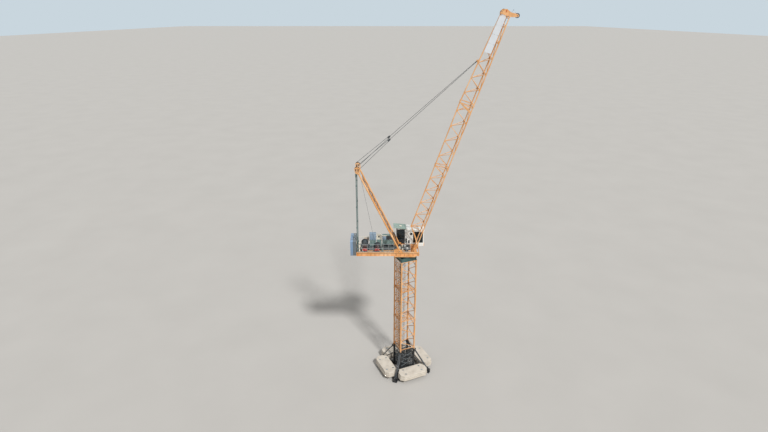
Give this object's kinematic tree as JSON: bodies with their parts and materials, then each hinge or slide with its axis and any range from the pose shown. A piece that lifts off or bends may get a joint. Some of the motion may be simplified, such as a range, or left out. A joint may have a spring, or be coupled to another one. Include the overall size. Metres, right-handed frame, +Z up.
{
  "type": "luffing jib tower crane, 1:10 scale model",
  "caption": "Scale model of a tower crane on a ballasted cross base, with a lattice tower, a slewing platform, an A-frame and a luffing lattice jib.",
  "frame": {"origin": "on the slewing axis at ground level, on the underside of the middle foot plate of the base", "axes": "+Z up along the slewing axis, +X along the platform towards the jib, +Y to the side where the cab hangs"},
  "size_m": [1.853, 0.7702, 4.5661],
  "materials": {
    "orange_paint": "weathered gloss paint",
    "dark_paint": "satin paint, dusty",
    "concrete": "cast concrete",
    "galvanised": "dull zinc",
    "teal_paint": "satin paint",
    "ring_steel": "greased steel",
    "weight_paint": "painted cast concrete",
    "sheave_iron": "bare cast, rope polished grooves",
    "winch_paint": "oily satin paint",
    "cabinet_paint": "powder coat",
    "cabinet_green": "powder coat",
    "cream_paint": "satin paint",
    "red_paint": "gloss paint",
    "cab_white": "moulded gloss",
    "cab_glass": "tinted",
    "roof_green": "satin paint",
    "rope_steel": "greased wire rope",
    "pin_steel": "machined",
    "panel_white": "white coated sheet"
  },
  "bodies": {
    "root": {"base_beam_through": "dark_paint", "base_beam_left": "dark_paint", "base_beam_right": "dark_paint", "base_tie_beams": "dark_paint", "base_section": "dark_paint", "base_struts": "dark_paint", "ballast_left": "concrete", "ballast_right": "concrete", "ballast_front": "concrete", "ballast_rear": "concrete", "tower_section_lower": "orange_paint", "tower_section_middle": "orange_paint", "tower_section_upper": "orange_paint", "ladder": "galvanised", "rest_platforms": "galvanised", "slew_support": "teal_paint", "slew_ring": "ring_steel"},
    "upper": {"turntable": "orange_paint", "platform_girders": "orange_paint", "platform_floor": "galvanised", "handrail_near": "galvanised", "handrail_far": "cream_paint", "handrail_rear": "cream_paint", "counterweight": "weight_paint", "aframe_legs": "orange_paint", "aframe_head": "orange_paint", "aframe_sheaves": "sheave_iron", "backstays": "teal_paint", "hoist_winch": "winch_paint", "luffing_winch": "winch_paint", "tall_cabinet": "cabinet_paint", "long_cabinet": "cabinet_green", "resistor_box": "cream_paint", "winch_motors": "red_paint", "slew_drives": "orange_paint", "cab_shell": "cab_white", "cab_glass": "cab_glass", "cab_roof": "roof_green", "cab_bracket": "orange_paint", "luffing_rope": "rope_steel"},
    "jib": {"jib_foot_section": "orange_paint", "jib_middle_section": "orange_paint", "jib_head_section": "orange_paint", "jib_pins": "pin_steel", "jib_nose": "orange_paint", "nose_sheave": "sheave_iron", "banner_panel": "panel_white", "pendant_lugs": "orange_paint", "pendants": "rope_steel", "floating_block": "sheave_iron"}
  },
  "joints": [
    {"name": "slew", "type": "hinge", "parent": "root", "child": "upper", "pos_m": [0, 0, 1.72], "axis": [0, 0, 1], "continuous": true},
    {"name": "luff", "type": "hinge", "parent": "upper", "child": "jib", "pos_m": [0.11, 0, 1.7723], "axis": [0, -1, 0], "range_deg": [-56, 14], "deforming": ["luffing_rope"]}
  ]
}
